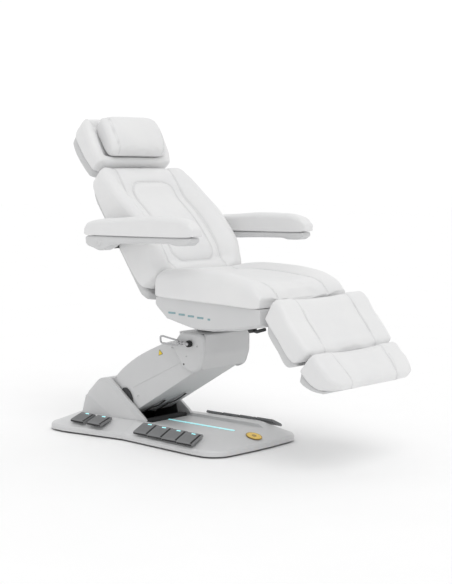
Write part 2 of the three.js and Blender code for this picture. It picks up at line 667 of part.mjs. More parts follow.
// ---- armrests ----
const trayRows = [
  [[-150, 976], [-148, 994], 28, 8],
  [[-138, 954], [-138, 998], 34, 12],
  [[-92, 941], [-92, 1000], 35, 14],
  [[-48, 930], [-48, 1001], 35, 14],
  [[0, 944], [0, 1001], 35, 14],
  [[40, 963], [40, 1001], 35, 14],
  [[400, 976], [400, 1005], 35, 12],
  [[450, 969], [450, 1006], 35, 14],
  [[505, 970], [505, 1007], 35, 14],
  [[538, 986], [536, 1006], 30, 8],
];
const padRows = [
  [[-152, 1008], [-148, 1034], 28, 10],
  [[-132, 1000], [-126, 1054], 37, 22],
  [[-60, 1002], [-60, 1068], 39, 28],
  [[100, 1003], [100, 1084], 39, 30],
  [[270, 1005], [270, 1097], 39, 32],
  [[430, 1008], [430, 1091], 39, 30],
  [[510, 1009], [512, 1070], 38, 26],
  [[545, 1012], [546, 1046], 30, 14],
];

function armrest(side, name) {
  const middle = (side * (ARM.inner + ARM.outer)) / 2;
  const reach = side < 0 ? [-ARM.inner - 31, -200] : [200, ARM.inner + 31];
  const hole = bar(ARM.pivotX, ARM.pivotZ, 14 + GAP, ...reach);
  const tray = block(cushionSections(trayRows)).translate(0, middle, 0);
  add(`${name}_armrest_tray`, cut(tray, hole), 'shell');
  add(`${name}_armrest_pad`, block(cushionSections(padRows)).translate(0, middle, 0), 'upholstery');
}

armrest(-1, 'right');
armrest(1, 'left');

// ---- legrest and footrest ----
function legShell() {
  const skin = block(cushionSections([
    [[848, 632], [858, 672], 262, 8],
    [[880, 586], [894, 643], 296, 20],
    [[930, 528], [950, 577], 300, 20],
    [[990, 462], [1004, 507], 296, 20],
    [[1030, 472], [1026, 486], 280, 6],
  ]));
  const slots = [-1, 1].map((s) => bar(LEG_HINGE.x, LEG_HINGE.z, 19, s < 0 ? -199 : 183, s < 0 ? -183 : 199));
  return cut(skin, ...slots, bar(LEG_HINGE.x, LEG_HINGE.z, LEG_HINGE.radius + GAP, -218, 218),
    ...slideRods(FOOT_SLIDE.radius + 1, 30));
}

const SLIDE_AXIS = new THREE.Vector2(0.655, -0.756).normalize();
function slideRods(radius, extra) {
  const length = 190 + 2 * extra;
  const angle = Math.atan2(SLIDE_AXIS.y, SLIDE_AXIS.x);
  return [-1, 1].map((s) => new THREE.CylinderGeometry(radius, radius, length, 12).rotateZ(Math.PI / 2)
    .rotateY(-angle).translate(1000, s * FOOT_SLIDE.y, 500));
}

add('leg_shell', legShell(), 'shell');
add('leg_cushion', cut(block(cushionSections([
  [[868, 672], [896, 728], 280, 16],
  [[876, 664], [926, 752], 316, 34],
  [[950, 580], [1018, 656], 320, 40],
  [[1020, 497], [1094, 566], 316, 38],
  [[1040, 492], [1108, 545], 306, 26],
  [[1062, 496], [1106, 524], 280, 12],
])), ...slideRods(FOOT_SLIDE.radius + 1, 30)), 'upholstery');

add('foot_shell', cut(block(cushionSections([
  [[1034, 434], [1048, 450], 262, 6],
  [[1050, 402], [1076, 430], 290, 14],
  [[1112, 373], [1128, 392], 292, 10],
  [[1160, 363], [1166, 374], 272, 6],
])), ...slideRods(FOOT_SLIDE.radius + GAP, 0)), 'shell');

add('foot_cushion', cut(block(cushionSections([
  [[1056, 462], [1104, 512], 280, 20],
  [[1064, 452], [1126, 532], 306, 40],
  [[1100, 418], [1176, 494], 306, 44],
  [[1134, 391], [1222, 448], 296, 44],
  [[1160, 378], [1246, 410], 272, 30],
  [[1180, 376], [1240, 388], 236, 8],
])), ...slideRods(FOOT_SLIDE.radius + GAP, 0)), 'upholstery');

slideRods(FOOT_SLIDE.radius, 0).forEach((rod, i) => add(`${['right', 'left'][i]}_slide_rod`, rod, 'bright'));

// ---- pedals ----
// Each pedal rocks about its inner edge and falls outward at the slope of the cover.
function pedal(x, side, inner, fall) {
  const raised = [[0, -PEDAL.thick], [PEDAL.length, -PEDAL.thick, 3], [PEDAL.length, -4, 3],
    [PEDAL.length - 10, 0, 3],
    [0, 0, 3]];
  const options = { depth: PEDAL.width, bevelEnabled: false, curveSegments: 2 };
  const plate = new THREE.ExtrudeGeometry(outline(raised), options);
  plate.rotateX(Math.PI / 2).rotateZ(Math.PI / 2); // its length along Y, its width along X
  plate.translate(-PEDAL.width / 2, 0, 0);
  plate.rotateX(-THREE.MathUtils.degToRad(fall));
  plate.translate(0, inner, PEDAL.top);
  if (side < 0) plate.rotateZ(Math.PI);
  return plate.translate(x, 0, 0);
}

for (const [group, plan] of [['front', FRONT_PEDALS], ['rear', REAR_PEDALS]]) {
  for (const [side, label] of [[-1, 'right'], [1, 'left']]) {
    for (let k = 0; k < plan.count; k += 1) {
      const x = plan.first + k * plan.pitch;
      const inner = plan.inner + (x - plan.first) * plan.spread;
      add(`${group}_pedal_${label}_${k + 1}`, pedal(x, side, inner, plan.fall), 'pedal');
    }
  }
}

export default bed;
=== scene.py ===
"""Looks of the facial treatment bed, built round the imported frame. Metres, in the frame's own axes."""
import json
import math

import bmesh
import bpy
import numpy as np
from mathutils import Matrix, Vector
from mathutils.bvhtree import BVHTree


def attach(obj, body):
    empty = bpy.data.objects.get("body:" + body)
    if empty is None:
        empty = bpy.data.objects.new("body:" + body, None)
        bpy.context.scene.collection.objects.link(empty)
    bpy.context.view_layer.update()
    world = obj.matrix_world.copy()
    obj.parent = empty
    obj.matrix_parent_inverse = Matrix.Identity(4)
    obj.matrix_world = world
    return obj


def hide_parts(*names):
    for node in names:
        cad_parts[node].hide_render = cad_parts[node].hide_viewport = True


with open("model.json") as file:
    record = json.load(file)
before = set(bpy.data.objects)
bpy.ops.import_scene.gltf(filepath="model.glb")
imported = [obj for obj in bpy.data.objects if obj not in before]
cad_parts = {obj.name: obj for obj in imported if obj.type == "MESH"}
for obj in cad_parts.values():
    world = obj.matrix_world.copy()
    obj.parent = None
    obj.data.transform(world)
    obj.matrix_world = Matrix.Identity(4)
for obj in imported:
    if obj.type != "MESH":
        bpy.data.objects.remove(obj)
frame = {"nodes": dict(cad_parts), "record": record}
bpy.context.view_layer.update()

BACK_FOOT = (0.093, 0.680)  # x, z of the back shell's foot
BACK_LEAN = math.radians(-35.3)
MM = 0.001


# ---------------------------------------------------------------- materials
def new_material(name):
    material = bpy.data.materials.new(name)
    material.use_nodes = True
    nodes = material.node_tree.nodes
    return material, nodes, material.node_tree.links, nodes["Principled BSDF"]


def coordinates(nodes, links, scale=(1, 1, 1)):
    source = nodes.new("ShaderNodeTexCoord")
    mapping = nodes.new("ShaderNodeMapping")
    mapping.inputs["Scale"].default_value = scale
    links.new(source.outputs["Object"], mapping.inputs["Vector"])
    return mapping.outputs["Vector"]


def noise(nodes, links, vector, scale, detail=4.0, roughness=0.55):
    node = nodes.new("ShaderNodeTexNoise")
    node.inputs["Scale"].default_value = scale
    node.inputs["Detail"].default_value = detail
    node.inputs["Roughness"].default_value = roughness
    links.new(vector, node.inputs["Vector"])
    return node.outputs["Fac"]


def ramp(nodes, links, factor, stops):
    node = nodes.new("ShaderNodeValToRGB")
    while len(node.color_ramp.elements) < len(stops):
        node.color_ramp.elements.new(0.5)
    for element, (position, color) in zip(node.color_ramp.elements, stops):
        element.position = position
        element.color = (*color, 1)
    links.new(factor, node.inputs["Fac"])
    return node.outputs["Color"]


def bump(nodes, links, heights, distance):
    """Chains bumps: heights is a list of (output, strength)."""
    normal = None
    for height, strength in heights:
        node = nodes.new("ShaderNodeBump")
        node.inputs["Strength"].default_value = strength
        node.inputs["Distance"].default_value = distance
        links.new(height, node.inputs["Height"])
        if normal is not None:
            links.new(normal, node.inputs["Normal"])
        normal = node.outputs["Normal"]
    links.new(normal, nodes["Principled BSDF"].inputs["Normal"])


def mapped_range(nodes, links, value, low, high):
    node = nodes.new("ShaderNodeMapRange")
    node.inputs["To Min"].default_value = low
    node.inputs["To Max"].default_value = high
    links.new(value, node.inputs["Value"])
    return node.outputs["Result"]


def upholstery_material():
    """White synthetic leather: pebbled grain, pores, faint creasing, and painted shade that darkens the
    groove of each seam.
    """
    material, nodes, links, shader = new_material("white_leather")
    vector = coordinates(nodes, links)
    pebble = nodes.new("ShaderNodeTexVoronoi")
    pebble.feature = "DISTANCE_TO_EDGE"
    pebble.inputs["Scale"].default_value = 620
    links.new(vector, pebble.inputs["Vector"])
    grain = ramp(nodes, links, pebble.outputs["Distance"], [(0.0, (0, 0, 0)), (0.14, (1, 1, 1))])
    pores = noise(nodes, links, vector, 1500, 2)
    creases = noise(nodes, links, coordinates(nodes, links, (1, 1.6, 1)), 24, 8, 0.62)
    cloud = noise(nodes, links, vector, 5, 3)
    color = ramp(nodes, links, cloud, [(0.3, (0.775, 0.776, 0.78)), (0.7, (0.81, 0.81, 0.808))])
    # painted shade: the seam mask darkens the colour in each seam's groove
    seam = nodes.new("ShaderNodeAttribute")
    seam.attribute_name = "seam"
    dark = nodes.new("ShaderNodeMix")
    dark.data_type = "RGBA"
    dark.inputs[7].default_value = (0.56, 0.56, 0.57, 1)
    links.new(mapped_range(nodes, links, seam.outputs["Fac"], 0, 0.5), dark.inputs["Factor"])
    links.new(color, dark.inputs[6])
    links.new(dark.outputs[2], shader.inputs["Base Color"])
    links.new(mapped_range(nodes, links, creases, 0.36, 0.5), shader.inputs["Roughness"])
    shader.inputs["Specular IOR Level"].default_value = 0.42
    shader.inputs["Coat Weight"].default_value = 0.06
    shader.inputs["Coat Roughness"].default_value = 0.4
    bump(nodes, links, [(grain, 0.12), (pores, 0.06), (creases, 0.3)], 0.0006)
    return material


def moulded_material(name, low, high, roughness, grain_scale=900, grain=0.12):
    """Moulded plastic with a fine spark-eroded texture, faint flow marks and slight scuffing."""
    material, nodes, links, shader = new_material(name)
    vector = coordinates(nodes, links)
    cloud = noise(nodes, links, vector, 3.5, 3)
    texture = noise(nodes, links, vector, grain_scale, 2, 0.6)
    scuffs = noise(nodes, links, coordinates(nodes, links, (1, 6, 2)), 30, 6, 0.7)
    links.new(ramp(nodes, links, cloud, [(0.3, low), (0.7, high)]), shader.inputs["Base Color"])
    sheen = mapped_range(nodes, links, scuffs, roughness - 0.07, roughness + 0.08)
    links.new(sheen, shader.inputs["Roughness"])
    bump(nodes, links, [(texture, grain), (cloud, 0.02)], 0.0004)
    return material


def metal_material(name, color, roughness, brushed=(1, 1, 1), strength=0.04, metallic=1.0):
    material, nodes, links, shader = new_material(name)
    streaks = noise(nodes, links, coordinates(nodes, links, brushed), 240, 5, 0.6)
    worn = noise(nodes, links, coordinates(nodes, links), 14, 5, 0.6)
    tint = ramp(nodes, links, worn, [(0.3, tuple(0.88 * c for c in color)), (0.7, color)])
    links.new(tint, shader.inputs["Base Color"])
    sheen = mapped_range(nodes, links, streaks, roughness * 0.7, roughness * 1.3)
    links.new(sheen, shader.inputs["Roughness"])
    shader.inputs["Metallic"].default_value = metallic
    bump(nodes, links, [(streaks, strength)], 0.0003)
    return material


def rubber_material():
    material, nodes, links, shader = new_material("black_rubber")
    vector = coordinates(nodes, links)
    dust = noise(nodes, links, vector, 30, 6, 0.65)
    pits = noise(nodes, links, vector, 800, 2)
    color = ramp(nodes, links, dust, [(0.35, (0.012, 0.012, 0.013)), (0.75, (0.03, 0.03, 0.031))])
    links.new(color, shader.inputs["Base Color"])
    links.new(mapped_range(nodes, links, dust, 0.55, 0.78), shader.inputs["Roughness"])
    bump(nodes, links, [(pits, 0.15)], 0.0004)
    return material


def light_material():
    """Lit diffuser: a cyan glow, a little brighter over each lamp behind it."""
    material, nodes, links, shader = new_material("cyan_light")
    lamps = noise(nodes, links, coordinates(nodes, links), 60, 1)
    color = ramp(nodes, links, lamps, [(0.3, (0.30, 0.80, 0.85)), (0.7, (0.48, 0.92, 0.95))])
    links.new(color, shader.inputs["Base Color"])
    links.new(color, shader.inputs["Emission Color"])
    shader.inputs["Emission Strength"].default_value = 0.6
    shader.inputs["Roughness"].default_value = 0.3
    return material


def enamel_material(name, low, high, roughness=0.3):
    material, nodes, links, shader = new_material(name)
    flecks = noise(nodes, links, coordinates(nodes, links), 260, 4, 0.6)
    links.new(ramp(nodes, links, flecks, [(0.35, low), (0.65, high)]), shader.inputs["Base Color"])
    sheen = mapped_range(nodes, links, flecks, roughness - 0.05, roughness + 0.1)
    links.new(sheen, shader.inputs["Roughness"])
    bump(nodes, links, [(flecks, 0.08)], 0.0003)
    return material


MATERIALS = {
    "upholstery": upholstery_material(),
    "shell_plastic": moulded_material("grey_shell", (0.625, 0.628, 0.632), (0.655, 0.657, 0.66), 0.42),
    "pedal_plastic": moulded_material("grey_pedal", (0.175, 0.178, 0.182), (0.215, 0.218, 0.222), 0.5,
                                      grain_scale=700, grain=0.25),
    "frame_steel": metal_material("powder_coat", (0.045, 0.046, 0.048), 0.5, metallic=0.25),
    "bright_metal": metal_material("chrome", (0.5, 0.5, 0.51), 0.2, (1, 12, 1)),
    "black_rubber": rubber_material(),
    "light_strip": light_material(),
}
THREAD = enamel_material("seam_thread", (0.62, 0.62, 0.62), (0.74, 0.74, 0.74), 0.6)
GOLD = enamel_material("badge_enamel", (0.80, 0.50, 0.03), (0.95, 0.66, 0.06), 0.32)
GOLD_RIM = metal_material("badge_rim", (0.42, 0.27, 0.07), 0.35)
YELLOW = enamel_material("label_yellow", (0.85, 0.62, 0.03), (0.92, 0.70, 0.06), 0.45)
TEAL = enamel_material("indicator_teal", (0.20, 0.33, 0.36), (0.28, 0.43, 0.46), 0.35)


# ---------------------------------------------------------------- mesh helpers
def new_piece(name, verts, faces, material, body, smooth=True):
    """A mesh in world metres that rides on a body; every face is turned to look outward."""
    mesh = bpy.data.meshes.new(name)
    mesh.from_pydata([tuple(v) for v in verts], [], faces)
    mesh.update()
    piece = bpy.data.objects.new(name, mesh)
    bpy.context.scene.collection.objects.link(piece)
    mesh.materials.append(material)
    if smooth:
        mesh.shade_smooth()
    fix_outward(mesh)
    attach(piece, body)
    return piece


def fix_outward(mesh):
    edit = bmesh.new()
    edit.from_mesh(mesh)
    bmesh.ops.recalc_face_normals(edit, faces=edit.faces)
    if edit.calc_volume(signed=True) < 0:
        bmesh.ops.reverse_faces(edit, faces=edit.faces)
    edit.to_mesh(mesh)
    edit.free()


def ring_faces(rings, size, closed=False):
    """Quads between successive rings of points, with a cap at each end unless the rings run in a loop."""
    faces = []
    for r in range(rings if closed else rings - 1):
        a, b = r * size, (r + 1) % rings * size
        for i in range(size):
            j = (i + 1) % size
            faces.append((a + i, a + j, b + j, b + i))
    if not closed:
        faces.append(tuple(range(size)))
        faces.append(tuple(reversed(range((rings - 1) * size, rings * size))))
    return faces


def refine(node, width, angle=32, segments=3):
    """A CAD node's own shape with its edges rounded."""
    source = frame["nodes"][node]
    mesh = source.data.copy()
    edit = bmesh.new()
    edit.from_mesh(mesh)
    bmesh.ops.remove_doubles(edit, verts=edit.verts, dist=4e-5)
    for face in edit.faces:
        face.smooth = True
    edit.to_mesh(mesh)
    edit.free()
    for name in ("sharp_edge", "sharp_face", "custom_normal"):
        if name in mesh.attributes:
            mesh.attributes.remove(mesh.attributes[name])
    mesh.shade_smooth()
    piece = bpy.data.objects.new(node + "_finish", mesh)
    bpy.context.scene.collection.objects.link(piece)
    slot = NODE_SLOT[node]
    mesh.materials.clear()
    mesh.materials.append(MATERIALS[slot])
    rounding = piece.modifiers.new("rounded_edges", "BEVEL")
    rounding.width = width
    rounding.segments = segments
    rounding.limit_method = "ANGLE"
    rounding.angle_limit = math.radians(angle)
    rounding.use_clamp_overlap = True
    shading = piece.modifiers.new("flat_faces", "WEIGHTED_NORMAL")
    shading.keep_sharp = True
    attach(piece, NODE_BODY[node])
    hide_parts(node)
    return piece


NODE_BODY = {n: b for b, nodes in frame["record"]["behaviour"]["bodies"].items() for n in nodes}
NODE_SLOT = {part["node"]: part["material_slot"] for part in frame["record"]["subparts"]}


def spline(keys, values, at):
    """Smooth interpolation that doesn't overshoot."""
    keys = np.asarray(keys, float)
    values = np.asarray(values, float)
    steps = np.diff(keys)
    slopes = np.diff(values) / steps
    tangents = np.zeros_like(values)
    tangents[0], tangents[-1] = slopes[0], slopes[-1]
    for i in range(1, len(values) - 1):
        if slopes[i - 1] * slopes[i] > 0:
            tangents[i] = 2 * slopes[i - 1] * slopes[i] / (slopes[i - 1] + slopes[i])
    at = np.clip(np.asarray(at, float), keys[0], keys[-1])
    i = np.clip(np.searchsorted(keys, at) - 1, 0, len(steps) - 1)
    t = (at - keys[i]) / steps[i]
    h00, h10 = 2 * t**3 - 3 * t**2 + 1, t**3 - 2 * t**2 + t
    h01, h11 = -2 * t**3 + 3 * t**2, t**3 - t**2
    start = h00 * values[i] + h10 * steps[i] * tangents[i]
    return start + h01 * values[i + 1] + h11 * steps[i] * tangents[i + 1]


def smoothstep(low, high, value):
    t = np.clip((np.asarray(value, float) - low) / (high - low), 0, 1)
    return t * t * (3 - 2 * t)


def to_world(points, leaning, offset_y):
    """Millimetres in a block's own axes into world metres; a leaning block's axes are (n, y, s)."""
    points = np.array(points, float) * MM
    if leaning:
        n, y, s = points[:, 0].copy(), points[:, 1].copy(), points[:, 2].copy()
        points[:, 0] = BACK_FOOT[0] + n * math.cos(BACK_LEAN) + s * math.sin(BACK_LEAN)
        points[:, 1] = y
        points[:, 2] = BACK_FOOT[1] - n * math.sin(BACK_LEAN) + s * math.cos(BACK_LEAN)
    points[:, 1] += offset_y * MM
    return points


def turned(directions, leaning):
    """Unit directions from a block's own axes into the world's."""
    return to_world(np.array(directions) / MM, leaning, 0) - to_world([[0, 0, 0]], leaning, 0)


class Block:
    """A padded or moulded block lofted through sections.

    Each row is (low point, high point, half width, corner radius) in millimetres. The points are (x, z), or
    (n, s) for a leaning block: n is out from the back shell and s is up along it.
    """

    def __init__(self, rows, step=6.0, end_round=10.0, leaning=False, offset_y=0.0, foot=9):
        lows = np.array([r[0] for r in rows], float)
        highs = np.array([r[1] for r in rows], float)
        middles = (lows + highs) / 2
        keys = np.concatenate([[0], np.cumsum(np.linalg.norm(np.diff(middles, axis=0), axis=1))])
        count = max(8, int(keys[-1] / step))
        at = np.linspace(0, keys[-1], count)
        columns = [*lows.T, *highs.T, [r[2] for r in rows], [r[3] for r in rows]]
        data = np.stack([spline(keys, column, at) for column in columns], axis=1)
        self.leaning, self.offset_y = leaning, offset_y
        half = max(r[2] for r in rows)
        flat_steps = max(10, int(2 * half / step))
        height = max(np.linalg.norm(highs - lows, axis=1))
        side_steps = max(3, int(height / step / 1.3))
        rings, tops = [], []
        for low_x, low_z, high_x, high_z, width, radius in data:
            low, high = (low_x, low_z), (high_x, high_z)
            ring, top = self.ring(low, high, width, radius, flat_steps, side_steps, foot)
            rings.append(ring)
            tops.append(top)
        rings, tops = self.rounded_ends(rings, tops, end_round)
        self.size = len(rings[0])
        self.points = np.concatenate(rings)
        self.top = np.concatenate(tops)
        self.rings = len(rings)

    @staticmethod
    def ring(low, high, half, radius, flat_steps, side_steps, foot):
        low, high = np.array(low), np.array(high)
        height = np.linalg.norm(high - low)
        radius = min(radius, half * 0.95, height * 0.48)
        foot = min(foot, radius)
        arc = np.linspace(0, math.pi / 2, 8)[1:-1]
        flat = np.linspace(-1, 1, flat_steps + 1)
        upright = np.linspace(-1, 1, side_steps + 1)
        y, h = [], []

        def corner(side, end, start, bend):
            angles = start + arc
            y.extend(side * (half - bend) + bend * np.cos(angles))
            h.extend((height - bend if end > 0 else bend) + bend * np.sin(angles))

        rise = foot + (upright + 1) / 2 * (height - radius - foot)
        y.extend(np.full(side_steps + 1, half))
        h.extend(rise)
        corner(1, 1, 0, radius)
        y.extend(-flat * (half - radius))
        h.extend(np.full(flat_steps + 1, height))
        corner(-1, 1, math.pi / 2, radius)
        y.extend(np.full(side_steps + 1, -half))
        h.extend(rise[::-1])
        corner(-1, -1, math.pi, foot)
        y.extend(flat * (half - foot))
        h.extend(np.zeros(flat_steps + 1))
        corner(1, -1, 3 * math.pi / 2, foot)
        y, h = np.array(y), np.array(h)
        t = h / height
        points = np.stack([low[0] + (high[0] - low[0]) * t, y, low[1] + (high[1] - low[1]) * t], axis=1)
        top = smoothstep(1 - 1.15 * radius / height, 1.0, t)
        return points, top

    @staticmethod
    def rounded_ends(rings, tops, amount):
        """Closes each end with rings that shrink round a quarter circle."""
        def cap(ring, inner):
            centre = ring.mean(axis=0)
            outward = centre - inner.mean(axis=0)
            outward /= np.linalg.norm(outward)
            reach = np.linalg.norm(ring - centre, axis=1).min()
            made = []
            for k in range(1, 5):
                angle = k / 4 * math.pi / 2
                shrink = 1 - (amount / reach) * (1 - math.cos(angle))
                made.append(centre + (ring - centre) * shrink + outward * amount * 0.5 * math.sin(angle))
            last = made[-1]
            for k in (0.75, 0.5, 0.28, 0.1):
                made.append(centre + (last - last.mean(axis=0)) * k + outward * amount * 0.5)
            return made
        start = cap(rings[0], rings[1])[::-1]
        end = cap(rings[-1], rings[-2])
        return start + rings + end, [tops[0]] * len(start) + tops + [tops[-1]] * len(end)

    def raise_top(self, amount):
        """Moves the upper face outward by amount(a, y) in millimetres; a is x, or s in the leaning frame."""
        up = self.up_direction()
        self.points += up * (amount(self.along(), self.points[:, 1]) * self.top)[:, None]

    def up_direction(self):
        grid = self.points.reshape(self.rings, self.size, 3)
        spread = np.zeros((self.rings, 3))
        weight = self.top.reshape(self.rings, self.size)
        for i in range(self.rings):
            upper = grid[i][weight[i] > 0.9].mean(axis=0)
            spread[i] = upper - grid[i][weight[i] < 0.01].mean(axis=0)
        spread[:, 1] = 0
        length = np.linalg.norm(spread, axis=1)
        core = np.flatnonzero(length > 0.6 * np.median(length))
        spread[: core[0]] = spread[core[0]]
        spread[core[-1] + 1:] = spread[core[-1]]
        spread /= np.linalg.norm(spread, axis=1)[:, None]
        return np.repeat(spread, self.size, axis=0)

    def piece(self, name, material, body, slot):
        points = to_world(self.points, self.leaning, self.offset_y)
        return new_piece(name, points, ring_faces(self.rings, self.size), material, body)

    def along(self):
        """How far along the block each point is: x, or s when it leans."""
        return self.points[:, 2] if self.leaning else self.points[:, 0]


def distance_to(lines, along, across):
    """The distance in millimetres from each point to the nearest of several polylines."""
    best = np.full(len(along), 1e9)
    for line in lines:
        for (a0, y0), (a1, y1) in zip(line[:-1], line[1:]):
            da, dy = a1 - a0, y1 - y0
            t = np.clip(((along - a0) * da + (across - y0) * dy) / (da * da + dy * dy), 0, 1)
            best = np.minimum(best, np.hypot(along - a0 - t * da, across - y0 - t * dy))
    return best


def puff(piece, pinned, cap, pressure=4.0, frames=11):
    """Inflates a cover by cloth simulation between its pinned seams, and limits how far it may move."""
    mesh = piece.data
    group = piece.vertex_groups.new(name="pin")
    group.add([int(i) for i in np.flatnonzero(pinned)], 1.0, "REPLACE")
    cloth = piece.modifiers.new("puff", "CLOTH")
    settings = cloth.settings
    settings.quality = 3
    settings.use_pressure = True
    settings.uniform_pressure_force = pressure
    settings.vertex_group_mass = "pin"
    settings.tension_stiffness = 12
    settings.compression_stiffness = 12
    settings.bending_stiffness = 1.5
    settings.mass = 0.35
    settings.effector_weights.gravity = 0
    cloth.collision_settings.use_collision = False
    cloth.point_cache.frame_start = 1
    cloth.point_cache.frame_end = frames
    scene = bpy.context.scene
    for step in range(1, frames + 1):
        scene.frame_set(step)
    evaluated = piece.evaluated_get(bpy.context.evaluated_depsgraph_get()).to_mesh()
    before = np.empty(len(mesh.vertices) * 3)
    after = np.empty(len(mesh.vertices) * 3)
    mesh.vertices.foreach_get("co", before)
    evaluated.vertices.foreach_get("co", after)
    piece.evaluated_get(bpy.context.evaluated_depsgraph_get()).to_mesh_clear()
    move = (after - before).reshape(-1, 3)
    length = np.linalg.norm(move, axis=1)
    soft = cap * np.tanh(length / cap) / np.maximum(length, 1e-9)
    mesh.vertices.foreach_set("co", (before.reshape(-1, 3) + move * soft[:, None]).ravel())
    piece.modifiers.remove(cloth)
    piece.vertex_groups.clear()
    scene.frame_set(1)
    mesh.update()


def sew(block, piece, lines, depth=3.4, spread=4.5):
    """Draws the seams in: a narrow groove along each line, and a mask kept as an attribute that the material
    uses for painted shade in the groove.
    """
    distance = distance_to(lines, block.along(), block.points[:, 1])
    upper = np.clip(block.top * 1.6, 0, 1)
    narrow, wide = np.exp(-((distance / spread) ** 2)), np.exp(-((distance / 17) ** 2))
    groove = (narrow + 1.1 * wide) * upper
    up = turned(block.up_direction(), block.leaning)
    mesh = piece.data
    points = np.empty(len(mesh.vertices) * 3)
    mesh.vertices.foreach_get("co", points)
    points = points.reshape(-1, 3) - up * (groove * depth * MM)[:, None]
    mesh.vertices.foreach_set("co", points.ravel())
    # mask for the painted shade in each seam's groove
    attribute = mesh.attributes.new("seam", "FLOAT", "POINT")
    attribute.data.foreach_set("value", np.exp(-((distance / 2.6) ** 2)) * upper)
    mesh.update()


def stitch(name, block, piece, lines, body, offset=5.0, length=5.5, gap=3.0):
    """Short threads along both sides of each seam, laid on the finished cover."""
    depsgraph = bpy.context.evaluated_depsgraph_get()
    tree = BVHTree.FromObject(piece, depsgraph)
    middle = block.up_direction()[len(block.points) // 2]
    up_world = Vector(turned([middle], block.leaning)[0]).normalized()
    verts, faces = [], []
    base = float(np.median(block.points[:, 0 if block.leaning else 2]))
    for line in lines:
        line = np.array(line, float)
        steps = np.linalg.norm(np.diff(line, axis=0), axis=1)
        total = steps.sum()
        keys = np.concatenate([[0], np.cumsum(steps)])
        at = np.arange(length, total - length, length + gap)
        centres = np.stack([np.interp(at, keys, values) for values in line.T], axis=1)
        along = np.stack([np.interp(at + 1, keys, values) for values in line.T], axis=1) - centres
        along /= np.linalg.norm(along, axis=1)[:, None]
        for centre, heading in zip(centres, along):
            across = np.array([-heading[1], heading[0]])
            for side in (-offset, offset):
                ends = []
                for reach in (-length / 2, length / 2):
                    a, y = centre + across * side + heading * reach
                    local = [base, y, a] if block.leaning else [a, y, base]
                    origin = Vector(to_world([local], block.leaning, block.offset_y)[0]) + up_world * 0.35
                    hit, normal, _, _ = tree.ray_cast(origin, -up_world, 0.8)
                    if hit is not None:
                        ends.append((hit, normal))
                if len(ends) == 2 and (ends[0][0] - ends[1][0]).length < 2 * length * MM:
                    add_thread(verts, faces, ends)
    if verts:
        new_piece(name, verts, faces, THREAD, body)


def add_thread(verts, faces, ends, radius=0.0006):
    """One stitch: a thin five-sided bead whose ends dip into the cover."""
    (p, n), (q, m) = ends
    normal = (n + m).normalized()
    direction = (q - p).normalized()
    side = direction.cross(normal).normalized()
    first = len(verts)
    profile = ((-0.1, 0.25), (0.12, 1.0), (0.88, 1.0), (1.1, 0.25))
    for t, swell in profile:
        centre = p.lerp(q, t) + normal * radius * 0.5 * swell
        for k in range(5):
            angle = k / 5 * 2 * math.pi
            verts.append(centre + (side * math.cos(angle) + normal * math.sin(angle)) * radius * swell)
    faces.extend(tuple(first + k for k in face) for face in ring_faces(len(profile), 5))


def pins(block, lines, reach=5.0):
    """Which points the cloth pass holds: the seams, and everything below the upper face."""
    near = distance_to(lines, block.along(), block.points[:, 1]) < reach
    return (near & (block.top > 0.2)) | (block.top < 0.02)


def cushion(node, body, block, lines, cap, depth=3.4, pressure=4.0):
    """Makes a cover for a CAD cushion: shaped block, cloth pass, seams, then stitching."""
    piece = block.piece(node + "_cover", MATERIALS["upholstery"], body, "upholstery")
    puff(piece, pins(block, lines), cap, pressure)
    sew(block, piece, lines, depth)
    stitch(node + "_stitching", block, piece, lines, body)
    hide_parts(node)


# ---------------------------------------------------------------- cushions
def mirrored(line):
    return [(a, -y) for a, y in line]


def rounded_rectangle(a0, a1, y0, y1, radius, steps=8):
    points = []
    for ca, cy, start in ((a1 - radius, y1 - radius, 0), (a0 + radius, y1 - radius, 90),
                          (a0 + radius, y0 + radius, 180), (a1 - radius, y0 + radius, 270)):
        for k in range(steps + 1):
            angle = math.radians(start + 90 * k / steps)
            points.append((ca + radius * math.cos(angle), cy + radius * math.sin(angle)))
    return points + points[:1]


def seat_cushion():
    rows = [
        ([188, 742], [186, 786], 290, 18), ([200, 723], [206, 828], 308, 36),
        ([232, 719], [240, 847], 312, 42), ([400, 714], [400, 859], 316, 44),
        ([575, 709.5], [575, 853], 316, 44), ([700, 705], [706, 836], 316, 40),
        ([790, 701.5], [800, 798], 314, 32), ([832, 705], [843, 752], 308, 18),
    ]
    block = Block(rows, end_round=6)

    def shape(x, y):
        middle = 1 - smoothstep(178, 256, np.abs(y))
        return -27 * middle * smoothstep(210, 300, x) * (1 - 0.7 * smoothstep(640, 800, x))

    block.raise_top(shape)
    line = [(240, 186), (400, 192), (600, 190), (740, 185), (800, 182), (842, 178)]
    cushion("seat_cushion", "seat", block, [line, mirrored(line)], 0.006)


def back_cushion():
    rows = [
        ([62, 40], [150, 40], 262, 26), ([48, 62], [202, 58], 294, 44),
        ([44, 100], [223, 96], 306, 58), ([43, 200], [240, 200], 312, 40),
        ([43, 344], [228, 344], 313, 38), ([43, 503], [188, 506], 310, 36),
        ([43, 620], [157, 634], 300, 40), ([43, 662], [140, 684], 280, 32),
        ([56, 684], [116, 704], 244, 16),
    ]
    block = Block(rows, end_round=6, leaning=True)

    def shape(s, y):
        middle = 1 - smoothstep(184, 268, np.abs(y))
        length = smoothstep(30, 130, s) * (1 - 0.85 * smoothstep(480, 690, s))
        panel = (1 - smoothstep(128, 146, np.abs(y))) * smoothstep(96, 130, s) * (1 - smoothstep(570, 604, s))
        return -52 * middle * length + 6 * panel

    block.raise_top(shape)
    side = [(60, 176), (120, 186), (200, 192), (344, 194), (480, 194), (580, 192), (640, 188), (700, 184)]
    oval = rounded_rectangle(112, 600, -142, 142, 66)
    cushion("back_cushion", "backrest", block, [side, mirrored(side), oval], 0.005)


